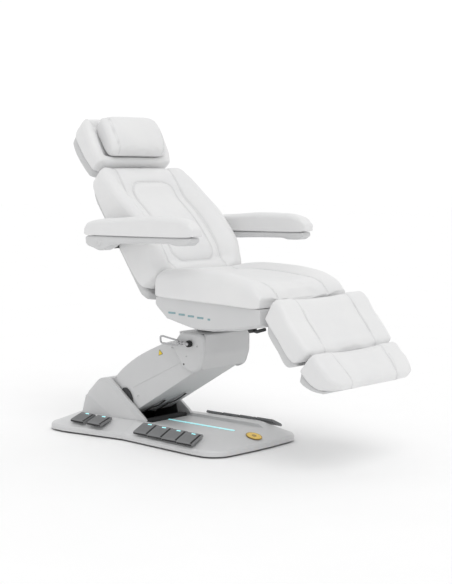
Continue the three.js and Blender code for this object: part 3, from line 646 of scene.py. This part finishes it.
def headrest_cushion():
    rows = [
        ([52, 722], [96, 728], 222, 18), ([51, 740], [122, 744], 252, 28),
        ([51, 820], [140, 822], 266, 32), ([51, 900], [150, 904], 265, 34),
        ([51, 932], [151, 940], 258, 34), ([53, 960], [145, 974], 240, 32),
        ([56, 980], [132, 994], 212, 24), ([62, 992], [112, 1004], 176, 14),
    ]
    block = Block(rows, end_round=6, leaning=True, step=5)

    def shape(s, y):
        inside = (1 - smoothstep(188, 222, np.abs(y))) * smoothstep(756, 790, s)
        return -28 * inside * (1 - 0.6 * smoothstep(940, 985, s))

    block.raise_top(shape)
    rim = [(998, 198), (940, 200), (850, 200), (800, 190), (780, 170), (770, 140)]
    line = rim + [(a, -y) for a, y in reversed(rim)]
    cushion("headrest_cushion", "headrest", block, [line], 0.003)


def head_pillow():
    rows = [
        ([128, 764], [162, 748], 168, 14), ([126, 774], [194, 762], 184, 34),
        ([126, 812], [220, 816], 190, 48), ([127, 868], [230, 876], 190, 50),
        ([132, 918], [221, 930], 185, 40), ([140, 944], [188, 958], 166, 14),
    ]
    block = Block(rows, end_round=5, leaning=True, step=4)
    block.raise_top(lambda s, y: 2 - 12 * smoothstep(110, 190, np.abs(y)))
    line = [(752, 148), (800, 158), (860, 162), (920, 156), (952, 146)]
    cushion("head_pillow", "pillow", block, [line, mirrored(line)], 0.005, depth=3)


def leg_cushion():
    rows = [
        ([868, 671], [897, 727], 288, 16), ([875, 661], [927, 751], 315, 26),
        ([948, 578], [1019, 657], 320, 28), ([1018, 495], [1095, 566], 317, 27),
        ([1036, 488], [1109, 544], 308, 22), ([1060, 492], [1106, 524], 284, 12),
    ]
    block = Block(rows, end_round=6)
    block.raise_top(lambda x, y: -7 * (1 - smoothstep(160, 205, np.abs(y))))
    line = [(886, 184), (950, 188), (1030, 188), (1108, 184)]
    cushion("leg_cushion", "legrest", block, [line, mirrored(line)], 0.006)


def foot_cushion():
    rows = [
        ([1054, 460], [1104, 512], 284, 18), ([1063, 450], [1127, 532], 307, 28),
        ([1099, 416], [1177, 494], 308, 32), ([1133, 390], [1221, 449], 299, 32),
        ([1159, 378], [1244, 411], 276, 24), ([1180, 376], [1239, 388], 240, 8),
    ]
    block = Block(rows, end_round=5, step=5)
    block.raise_top(lambda x, y: -6 * (1 - smoothstep(150, 195, np.abs(y))))
    line = [(1104, 182), (1160, 180), (1210, 172), (1243, 164)]
    cushion("foot_cushion", "footrest", block, [line, mirrored(line)], 0.006)


PAD_ROWS = [
    ([-158, 1006], [-154, 1040], 31, 12), ([-138, 1001.5], [-132, 1062], 38, 20),
    ([-60, 1001.5], [-60, 1077], 39, 24), ([100, 1002.5], [100, 1088], 39, 25),
    ([270, 1004], [270, 1098], 39, 26), ([430, 1006], [430, 1095], 39, 26),
    ([516, 1008], [518, 1078], 38, 24), ([549, 1012], [551, 1050], 32, 14),
]
TRAY_ROWS = [
    ([-150, 976], [-148, 994], 28, 8), ([-138, 954], [-138, 998], 34, 12),
    ([-92, 941], [-92, 1000], 35, 14), ([-48, 930], [-48, 1001], 35, 14),
    ([0, 944], [0, 1001], 35, 14), ([40, 963], [40, 1001], 35, 14),
    ([400, 976], [400, 1005], 35, 12), ([450, 969], [450, 1006], 35, 14),
    ([505, 970], [505, 1007], 35, 14), ([538, 986], [536, 1006], 30, 8),
]
ARM_MIDDLE = 396.0


def armrest(side, label):
    body = f"{label}_armrest"
    pad = Block(PAD_ROWS, step=4, end_round=8, offset_y=side * ARM_MIDDLE, foot=4)
    cushion(f"{label}_armrest_pad", body, pad, [], 0.0025)
    tray = Block(TRAY_ROWS, step=5, end_round=4, offset_y=side * ARM_MIDDLE)
    piece = tray.piece(f"{label}_armrest_tray_finish", MATERIALS["shell_plastic"], body, "shell_plastic")
    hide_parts(f"{label}_armrest_tray")


seat_cushion()
back_cushion()
headrest_cushion()
head_pillow()
leg_cushion()
foot_cushion()
armrest(-1, "right")
armrest(1, "left")


# ---------------------------------------------------------------- moulded shells
def shell_block(node, body, rows, leaning=False, end_round=5, step=7):
    block = Block(rows, step=step, end_round=end_round, leaning=leaning)
    piece = block.piece(node + "_finish", MATERIALS["shell_plastic"], body, "shell_plastic")
    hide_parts(node)


shell_block("back_shell", "backrest", [
    ([16, 2], [38, 14], 200, 6), ([4, 18], [40, 26], 252, 16),
    ([0, 60], [42, 60], 272, 18), ([0, 560], [42, 560], 272, 18),
    ([2, 640], [42, 640], 256, 18), ([14, 668], [42, 668], 222, 12),
], leaning=True)
shell_block("headrest_shell", "headrest", [
    ([6, 714.5], [44, 718], 196, 12), ([-4, 740], [48, 740], 232, 20),
    ([-6, 860], [50, 860], 246, 22), ([-2, 924], [50, 930], 240, 22),
    ([24, 966], [50, 968], 214, 8),
], leaning=True)
shell_block("leg_shell", "legrest", [
    ([848, 632], [858, 672], 262, 8), ([880, 586], [894, 643], 296, 20),
    ([930, 528], [950, 577], 300, 20), ([990, 462], [1004, 507], 296, 20),
    ([1030, 472], [1026, 486], 280, 6),
])
shell_block("foot_shell", "footrest", [
    ([1034, 434], [1048, 450], 262, 6), ([1050, 402], [1076, 430], 290, 14),
    ([1112, 373], [1128, 392], 292, 10), ([1160, 363], [1166, 374], 272, 6),
])


def rounded_outline(points, steps=6):
    """A closed outline of (x, z) in millimetres from corners given as (x, z, radius)."""
    made = []
    count = len(points)
    for i, (x, z, radius) in enumerate(points):
        corner = np.array([x, z], float)
        before = np.array(points[i - 1][:2], float) - corner
        after = np.array(points[(i + 1) % count][:2], float) - corner
        reach_before, reach_after = np.linalg.norm(before), np.linalg.norm(after)
        before /= reach_before
        after /= reach_after
        half = math.acos(np.clip(before @ after, -1, 1)) / 2
        trim = min(radius / math.tan(half), reach_before * 0.49, reach_after * 0.49)
        for t in np.linspace(0, 1, steps + 1):
            a = corner + before * trim
            b = corner + after * trim
            made.append((1 - t) ** 2 * a + 2 * t * (1 - t) * corner + t * t * b)
    return np.array(made)


def inset(outline, amount):
    """Moves a closed outline inward along its vertex normals."""
    ahead = np.roll(outline, -1, axis=0) - outline
    behind = outline - np.roll(outline, 1, axis=0)
    run = ahead / np.linalg.norm(ahead, axis=1)[:, None] + behind / np.linalg.norm(behind, axis=1)[:, None]
    normal = np.stack([-run[:, 1], run[:, 0]], axis=1)
    normal /= np.linalg.norm(normal, axis=1)[:, None]
    area = np.sum(outline[:, 0] * np.roll(outline[:, 1], -1) - np.roll(outline[:, 0], -1) * outline[:, 1])
    return outline + normal * amount * (1 if area > 0 else -1)


def slab(name, outline, y_inner, y_outer, radius, material, body, edge_inner=0.6):
    """A plate along Y whose outer face is rounded over at its rim."""
    away = 1 if y_outer > y_inner else -1
    levels = [(y_inner, edge_inner), (y_inner + away * edge_inner, 0)]
    for angle in np.linspace(0, math.pi / 2, 9):
        levels.append((y_outer - away * radius * (1 - math.sin(angle)), radius * (1 - math.cos(angle))))
    levels += [(y_outer, radius + 0.8), (y_outer, radius + 1.6)]
    rings = []
    for y, amount in levels:
        moved = inset(outline, amount)
        rings.append(np.stack([moved[:, 0], np.full(len(moved), y), moved[:, 1]], axis=1))
    faces = ring_faces(len(rings), len(outline))
    piece = new_piece(name, np.concatenate(rings) * MM, faces, material, body)
    shading = piece.modifiers.new("flat_faces", "WEIGHTED_NORMAL")
    shading.keep_sharp = True
    return piece


HEAD_SIDE = [
    (188, 500, 46), (192, 444, 52), (236, 378, 52), (300, 350, 52), (350, 372, 52), (375, 440, 70),
    (375.5, 543.5, 34), (226, 543.5, 50),
]
HEAD_BAND = [
    (349, 371.5, 2), (375, 440, 70), (375.5, 543.5, 34), (352, 543.5, 2), (366, 508, 30), (366, 444, 50),
    (338, 384, 3),
]


def head_housing():
    for side, label in ((-1, "right"), (1, "left")):
        plate = slab(f"{label}_head_cover_finish", rounded_outline(HEAD_SIDE), side * 151.5, side * 170, 15,
                     MATERIALS["shell_plastic"], "head")
        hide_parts(f"{label}_head_cover")
    band = slab("head_front_cover_finish", rounded_outline(HEAD_BAND), -151, 151, 0.6,
                MATERIALS["shell_plastic"], "head")
    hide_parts("head_front_cover")


def tube(name, path, radius, material, body, slot, sides=14, closed=False):
    """A round bar through points given in metres; radius may be a list, one for each point."""
    path = np.array(path, float)
    radii = np.full(len(path), radius, float) if np.isscalar(radius) else np.array(radius, float)
    if closed:
        ahead = np.roll(path, -1, axis=0) - np.roll(path, 1, axis=0)
    else:
        ahead = np.gradient(path, axis=0)
    ahead /= np.linalg.norm(ahead, axis=1)[:, None]
    side = np.cross(ahead[0], [0.31, 0.2, 0.93])
    side /= np.linalg.norm(side)
    verts = []
    for point, heading, r in zip(path, ahead, radii):
        side = side - heading * (side @ heading)
        side /= np.linalg.norm(side)
        other = np.cross(heading, side)
        for k in range(sides):
            angle = 2 * math.pi * k / sides
            verts.append(point + r * (side * math.cos(angle) + other * math.sin(angle)))
    return new_piece(name, verts, ring_faces(len(path), sides, closed), material, body)


def merge(pieces, name):
    """Joins several pieces of one body and one material into the first."""
    edit = bmesh.new()
    for piece in pieces:
        edit.from_mesh(piece.data)
    edit.to_mesh(pieces[0].data)
    edit.free()
    for piece in pieces[1:]:
        bpy.data.objects.remove(piece)
    pieces[0].name = name
    return pieces[0]


LEVER_X, LEVER_Z = 0.295, 0.494  # the lever's axis
LEVER_Y = -0.190  # the handle's plane


def swivel_lever():
    """The brake lever: a knurled black hub, a chrome stem and a flattened loop handle."""
    chrome, rubber, y = MATERIALS["bright_metal"], MATERIALS["black_rubber"], LEVER_Y

    def bar(name, path, radius, **kind):
        return tube(name, path, radius, chrome, "lever", "bright_metal", **kind)

    centre = np.array([LEVER_X, LEVER_Z]) / MM
    rim = [(*(centre + point), 1) for point in circle(15, 16)]
    hub = slab("lever_hub", rounded_outline(rim), -172.4, -192, 3, rubber, "lever")
    ribs = []
    for dx, dz in circle(14.8 * MM, 12):
        line = [(LEVER_X + dx, end, LEVER_Z + dz) for end in (-0.1745, -0.189)]
        ribs.append(tube("rib", line, 0.0014, rubber, "lever", "black_rubber", sides=8))
    merge([hub, *ribs], "swivel_lever_hub")
    cap = bar("lever_cap", [(LEVER_X, y - depth, LEVER_Z) for depth in (0, 0.0065, 0.008)],
              [0.0085, 0.0085, 0.006], sides=24)
    stem = bar("lever_stem", [(0.292, y, 0.494), (0.276, y, 0.495), (0.258, y, 0.496), (0.236, y, 0.4975)],
               [0.0075, 0.0062, 0.0056, 0.0062])
    collar = bar("lever_collar", [(0.262, y, 0.4957), (0.250, y, 0.4965)], 0.0092, sides=6)
    corners = [(237, 490, 7), (216, 484, 12), (118, 485, 14), (115, 516, 12), (132, 519, 12), (220, 507, 10),
               (237, 503, 7)]
    loop_path = [(x * MM, y, z * MM) for x, z in rounded_outline(corners, 8)]
    loop = bar("lever_loop", loop_path, 0.0046, closed=True)
    handle = merge([cap, stem, collar, loop], "swivel_lever_handle")
    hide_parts("swivel_lever")


def plate_on(name, centre, axis, outline, thickness, material, body, up=(0, 0, 1)):
    """A thin plate with a softened rim, laid on a surface: outline in millimetres about centre."""
    axis = Vector(axis).normalized()
    across = Vector(up).cross(axis).normalized()
    height = axis.cross(across)
    rings = []
    rim = min(thickness * 0.45, 0.0006) / MM
    for depth, amount in ((-0.4, 0), (thickness / MM - rim, 0), (thickness / MM, rim)):
        moved = inset(np.array(outline, float), amount)
        rings.append([Vector(centre) + (across * a + height * b + axis * depth) * MM for a, b in moved])
    verts = [v for ring in rings for v in ring]
    return new_piece(name, verts, ring_faces(len(rings), len(outline)), material, body, smooth=False)


def circle(radius, steps=28):
    angles = np.linspace(0, 2 * math.pi, steps, endpoint=False)
    return [(radius * math.cos(a), radius * math.sin(a)) for a in angles]


ARM_SIDE = -0.1430  # the arm cover's near face
HEAD_FACE = -0.1700  # the head cover's near face
ARM_ROOT = (-0.118, 0.1105)  # x, z of a point on the arm's underside
ARM_RISE = 0.5785  # how steeply the underside climbs


def near_plate(name, x, y, z, outline, thickness, look, body):
    """A thin plate on a face that looks toward -Y."""
    plate_on(name, (x, y, z), (0, -1, 0), outline, thickness, MATERIALS[look], body)


def arm_details():
    arm_screws = ((-0.244, 0.274), (-0.087, 0.198), (0.149, 0.460))
    head_screws = ((0.268, 0.431), (0.336, 0.482))
    for prefix, body, face, places, size, socket, height in (
            ("arm", "lift_arm", ARM_SIDE, arm_screws, 6.5, 2.4, 0.0022),
            ("head", "head", HEAD_FACE, head_screws, 6, 2.2, 0.0016)):
        for n, (x, z) in enumerate(places):
            near_plate(f"{prefix}_screw_{n + 1}", x, face, z, circle(size), height, "shell_plastic", body)
            near_plate(f"{prefix}_screw_socket_{n + 1}", x, face - height + 0.0002, z, circle(socket, 6),
                       0.0004, "black_rubber", body)
    near_plate("head_plug", 0.251, HEAD_FACE - 0.0002, 0.392, circle(4.5), 0.0008, "black_rubber", "head")
    warning_triangle()
    conduits()


def warning_triangle():
    """A plain yellow triangle with a black border, level with the arm's slope."""
    slope = 18
    angles = [math.radians(corner + slope) for corner in (90, 210, 330)]
    edge = [(19 * math.cos(a), 19 * math.sin(a)) for a in angles]
    for name, scale, lift, material, slot in (
            ("arm_label_border", 1.0, 0.0, MATERIALS["black_rubber"], "black_rubber"),
            ("arm_label_face", 0.82, 0.0006, YELLOW, "shell_plastic")):
        corners = rounded_outline([(a * scale, b * scale, 3) for a, b in edge], 4)
        centre = (0.068, ARM_SIDE - lift, 0.426)
        plate_on(name, centre, (0, -1, 0), corners, 0.0008, material, "lift_arm")


def conduits():
    """Two flattened corrugated conduits that leave the boot and lie along the arm's underside."""
    slope = math.radians(30)
    underside = Vector((-math.sin(slope), 0, math.cos(slope)))
    for n, (y, reach) in enumerate(((-0.070, 0.1224), (0.030, 0.1692))):
        path = []
        for t in np.linspace(0, 1, 34):
            x = -0.126 + reach * t
            droop = 0.0032 + 0.006 * math.sin(math.pi * max(0, t - 0.4) / 0.6)
            path.append((x, y + 0.03 * t, ARM_ROOT[1] + (x - ARM_ROOT[0]) * ARM_RISE - droop))
        conduit = tube(f"arm_conduit_{n + 1}", path, 0.0105, MATERIALS["black_rubber"], "lift_arm",
                       "black_rubber")
        ridges(conduit, path, underside)


def ridges(piece, path, normal, flat=0.26):
    """Corrugates a tube by swelling every other ring, and flattens it against the surface it lies on."""
    rings = len(path)
    sides = len(piece.data.vertices) // rings
    for r in range(rings):
        factor = 1.0 if r % 2 else 0.8
        for k in range(sides):
            vertex = piece.data.vertices[r * sides + k]
            away = (vertex.co - Vector(path[r])) * factor
            vertex.co = Vector(path[r]) + away - normal * (away.dot(normal) * (1 - flat))


def pan_details():
    """Small status marks on the seat pan's side, and the linkage between the pan and the legrest."""
    marks = ((0.280, 0.326), (0.346, 0.386), (0.404, 0.443), (0.462, 0.502), (0.527, 0.543))
    for n, (x0, x1) in enumerate(marks):
        x = (x0 + x1) / 2
        z = 0.652 - 0.062 * (x - 0.28)
        half = (x1 - x0) / 2 / MM
        plate_on(f"status_mark_{n + 1}", (x, -0.3022, z), (0, -1, 0), box_outline(half, 4.5, 3, 4), 0.0007,
                 TEAL, "seat")
    steel = MATERIALS["frame_steel"]
    for n, y in enumerate((-0.212, 0.212)):
        bend = [(0.690, y, 0.600), (0.742, y, 0.590), (0.790, y, 0.604)]
        arm = tube(f"leg_linkage_{n + 1}", bend, 0.008, steel, "seat", "frame_steel")
        pivot = [(0.716, y - 0.016, 0.596), (0.716, y + 0.016, 0.596)]
        rod = tube("rod", pivot, 0.013, steel, "seat", "frame_steel")
        merge([arm, rod], f"leg_linkage_{n + 1}")


def badge():
    """A plain enamelled disc with a raised rim on the front slope of the base."""
    centre, axis = (0.530, 0.016, 0.0566), (0.27, 0, 0.963)
    discs = (("rim", circle(40, 48), 0.0022, GOLD_RIM), ("face", circle(35, 48), 0.0030, GOLD),
             ("boss", circle(12, 32), 0.0038, GOLD_RIM))
    for name, outline, height, material in discs:
        plate_on("badge_" + name, centre, axis, outline, height, material, "base",
                 up=(-1, 0, 0))


# each row of pedals: first x, pitch, inner edge, the edge's spread for each millimetre of x, fall, count
PEDAL_ROWS = {"front": (84, 104.5, 224, 0.083, 25, 4), "rear": (-228, -121, 236, 0, 19, 2)}
PEDAL_TOP = 0.094


def pedal_details():
    for group, (first, pitch, inner, spread, fall, count) in PEDAL_ROWS.items():
        for side, label in ((-1, "right"), (1, "left")):
            for k in range(count):
                x = first + k * pitch
                edge = inner + (x - first) * spread
                dress_pedal(f"{group}_pedal_{label}_{k + 1}", x * MM, side, edge * MM, math.radians(fall))


def box_outline(width, length, radius, steps=3):
    """A rounded rectangle of (x, z, radius) corners, given by its half width and half length."""
    corners = ((-1, -1), (1, -1), (1, 1), (-1, 1))
    return rounded_outline([(a * width, b * length, radius) for a, b in corners], steps)


def dress_pedal(body, x, side, edge, fall):
    """A ribbed grip, a lit window at the inner edge, a dark band of painted shade for the gap beside the
    pedal, and a dark skirt on one pedal.
    """
    outward = Vector((0, side * math.cos(fall), -math.sin(fall)))
    normal = Vector((0, side * math.sin(fall), math.cos(fall)))
    top = Vector((x, side * edge, PEDAL_TOP))

    def plate(name, dx, run, outline, thickness, look):
        centre = top + Vector((dx, 0, 0)) + outward * run
        return plate_on(name, centre, normal, outline, thickness, MATERIALS[look], body, up=outward)

    plate(body + "_light", 0, 0.0095, box_outline(13, 3.2, 3), 0.0009, "light_strip")
    rib = box_outline(44, 1.5, 1)
    ribs = [plate("rib", 0, 0.022 + n * 0.0078, rib, 0.0011, "pedal_plastic") for n in range(7)]
    merge(ribs, body + "_ribs")
    # painted shade: a black strip near one side stands for the shaded gap to the next pedal
    plate(body + "_painted_gap_shade", 0.0405, 0.044, box_outline(5.5, 36, 2), 0.0014, "black_rubber")
    edge_middle = top + outward * 0.0838 - normal * 0.0068
    plate_on(body + "_skirt", edge_middle, outward, box_outline(46, 4.4, 1), 0.0014,
             MATERIALS["black_rubber"], body, up=normal)


def boss_details():
    """The pivot cap of each armrest, and the clip on the backrest's far side."""
    for side, label in ((-1, "right"), (1, "left")):
        centre = (-0.048, side * 0.4308, 0.966)
        cap = plate_on(f"{label}_armrest_pivot_cap", centre, (0, side, 0), circle(15, 36), 0.0018,
                       MATERIALS["shell_plastic"], f"{label}_armrest")
        cap.data.shade_smooth()
    n, s = 120, 600  # the clip's middle in the leaning frame
    points = to_world([[n + a, 0, s + b] for a, b in box_outline(10, 22, 4)], True, 0)
    outline = [(x / MM, z / MM) for x, _, z in points]
    slab("back_clip", np.array(outline), 284, 304, 3, MATERIALS["black_rubber"], "backrest")


head_housing()
swivel_lever()
arm_details()
pan_details()
badge()
pedal_details()
boss_details()

EDGES = {  # how far each CAD node's edges are rounded
    "front_base_cover": 0.004, "rear_base_cover": 0.004, "right_tower_cover": 0.0025,
    "left_tower_cover": 0.0025, "rear_tower_cover": 0.004, "right_arm_cover": 0.004,
    "left_arm_cover": 0.004, "seat_pan": 0.006, "cable_boot": 0.003, "head_frame": 0.002,
    "turntable_bearing": 0.002, "swivel_frame": 0.002, "floor_light_strip": 0.001, "power_inlet": 0.001,
    "tower_frame": 0.002, "headrest_blade": 0.001, "seat_brackets": 0.001, "back_frame": 0.001,
    "anti_slip_mat": 0.002, "lift_motor": 0.004,
}
for name, width in EDGES.items():
    finish = refine(name, width, angle=9 if "tower_cover" in name else 32)
    if name == "head_frame":
        finish.data.materials[0] = MATERIALS["shell_plastic"]
for name, node in frame["nodes"].items():
    for material_slot in node.material_slots:
        material_slot.material = MATERIALS[NODE_SLOT[name]]
for name in list(frame["nodes"]):
    if "pedal" in name:
        refine(name, 0.002)


# ---------------------------------------------------------------- light, floor and camera
def backdrop():
    """White backdrop behind the object, softer white on the camera's side."""
    world = bpy.data.worlds.new("studio")
    world.use_nodes = True
    nodes, links = world.node_tree.nodes, world.node_tree.links
    source = nodes.new("ShaderNodeTexCoord")
    turn = nodes.new("ShaderNodeVectorMath")
    turn.operation = "DOT_PRODUCT"
    turn.inputs[1].default_value = (-0.67, 0.74, 0)
    links.new(source.outputs["Generated"], turn.inputs[0])
    level = nodes.new("ShaderNodeMapRange")
    level.inputs["From Min"].default_value = -0.5
    level.inputs["From Max"].default_value = 0.8
    level.inputs["To Min"].default_value = 0.66
    level.inputs["To Max"].default_value = 1.02
    links.new(turn.outputs["Value"], level.inputs["Value"])
    links.new(level.outputs["Result"], nodes["Background"].inputs["Strength"])
    nodes["Background"].inputs["Color"].default_value = (1, 1, 1, 1)
    bpy.context.scene.world = world


def studio():
    """The pale floor and one broad soft sun."""
    backdrop()
    mesh = bpy.data.meshes.new("floor")
    reach = 40
    corners = [(x * reach, y * reach, -0.0005) for x, y in ((-1, -1), (1, -1), (1, 1), (-1, 1))]
    mesh.from_pydata(corners, [], [(0, 1, 2, 3)])
    floor = bpy.data.objects.new("floor", mesh)
    bpy.context.scene.collection.objects.link(floor)
    material, nodes, links, shader = new_material("pale_floor")
    haze = noise(nodes, links, coordinates(nodes, links), 2, 2)
    color = ramp(nodes, links, haze, [(0.3, (0.975, 0.975, 0.975)), (0.7, (0.985, 0.985, 0.985))])
    links.new(color, shader.inputs["Base Color"])
    shader.inputs["Roughness"].default_value = 0.9
    shader.inputs["Specular IOR Level"].default_value = 0.1
    mesh.materials.append(material)

    sun = bpy.data.lights.new("key", "SUN")
    sun.energy = 0.85
    sun.angle = math.radians(40)
    key = bpy.data.objects.new("key", sun)
    key.location = (2.6, -1.7, 4.2)
    key.rotation_euler = (-key.location).to_track_quat("-Z", "Y").to_euler()
    bpy.context.scene.collection.objects.link(key)


def camera():
    data = bpy.data.cameras.new("camera")
    data.lens = 80.48
    data.sensor_width = 36
    item = bpy.data.objects.new("camera", data)
    item.location = (4.4963, -4.5865, 1.2858)
    item.rotation_euler = (math.radians(90 - 5.14), 0, math.radians(42))
    bpy.context.scene.collection.objects.link(item)
    bpy.context.scene.camera = item


studio()
camera()
bpy.context.scene.view_settings.view_transform = "Standard"

bpy.context.view_layer.update()
